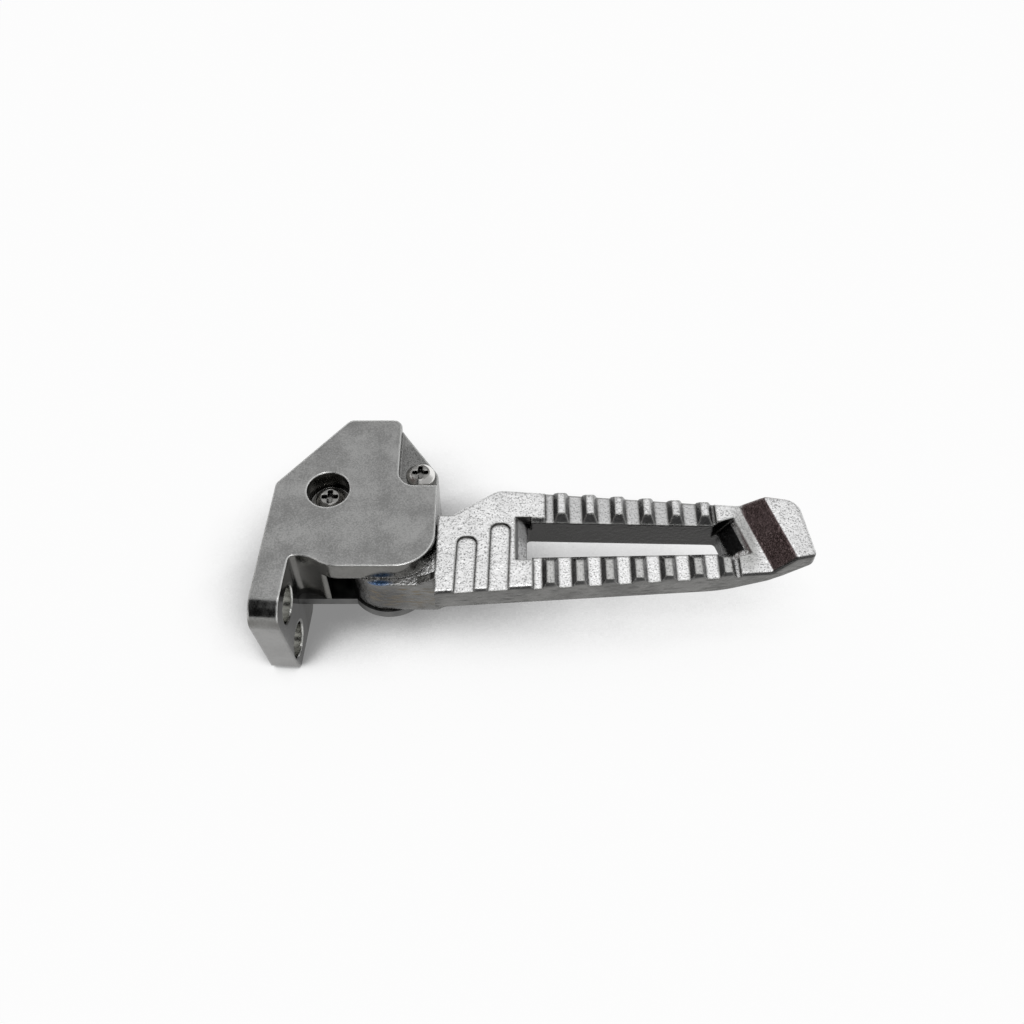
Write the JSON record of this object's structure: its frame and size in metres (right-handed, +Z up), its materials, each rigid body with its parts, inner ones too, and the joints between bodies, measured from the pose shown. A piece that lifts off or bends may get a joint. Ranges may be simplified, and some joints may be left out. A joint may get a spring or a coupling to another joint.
{
  "type": "folding passenger footpeg",
  "caption": "Folding aluminium passenger footpeg for a motorbike, with a ridged open platform, an upturned tip and a bolt-on pivot bracket.",
  "frame": {"origin": "midway between the two frame bolt holes, on the face that meets the frame", "axes": "+X outward along the peg, +Z up out of the standing surface, +Y away from the side that the peg folds to"},
  "size_m": [0.1458, 0.0642, 0.039],
  "materials": {
    "machined_aluminium": "satin",
    "cast_aluminium": "satin",
    "plate_steel": "satin",
    "bright_steel": "polished",
    "bronze": "satin"
  },
  "bodies": {
    "bracket": {"bracket_housing": "machined_aluminium", "lower_plate": "plate_steel", "pivot_pin": "bright_steel", "pocket_screw": "bright_steel", "pocket_washer": "bright_steel", "corner_screw": "bright_steel", "detent_spring": "bright_steel"},
    "peg": {"footpeg": "cast_aluminium", "upper_bush": "bronze", "lower_bush": "bronze"},
    "plunger": {"detent_plunger": "bright_steel"}
  },
  "joints": [
    {"name": "peg_fold", "type": "hinge", "parent": "bracket", "child": "peg", "pos_m": [0.0331, 0.0141, 0.00645], "axis": [0, 0, -1], "range_deg": [0, 90]},
    {"name": "plunger_slide", "type": "slide", "parent": "bracket", "child": "plunger", "axis": [0, -1, 0], "range_m": [0, 0.001], "stiffness_N_per_m": 800, "springref_m": 0.003, "deforming": ["detent_spring"]}
  ]
}
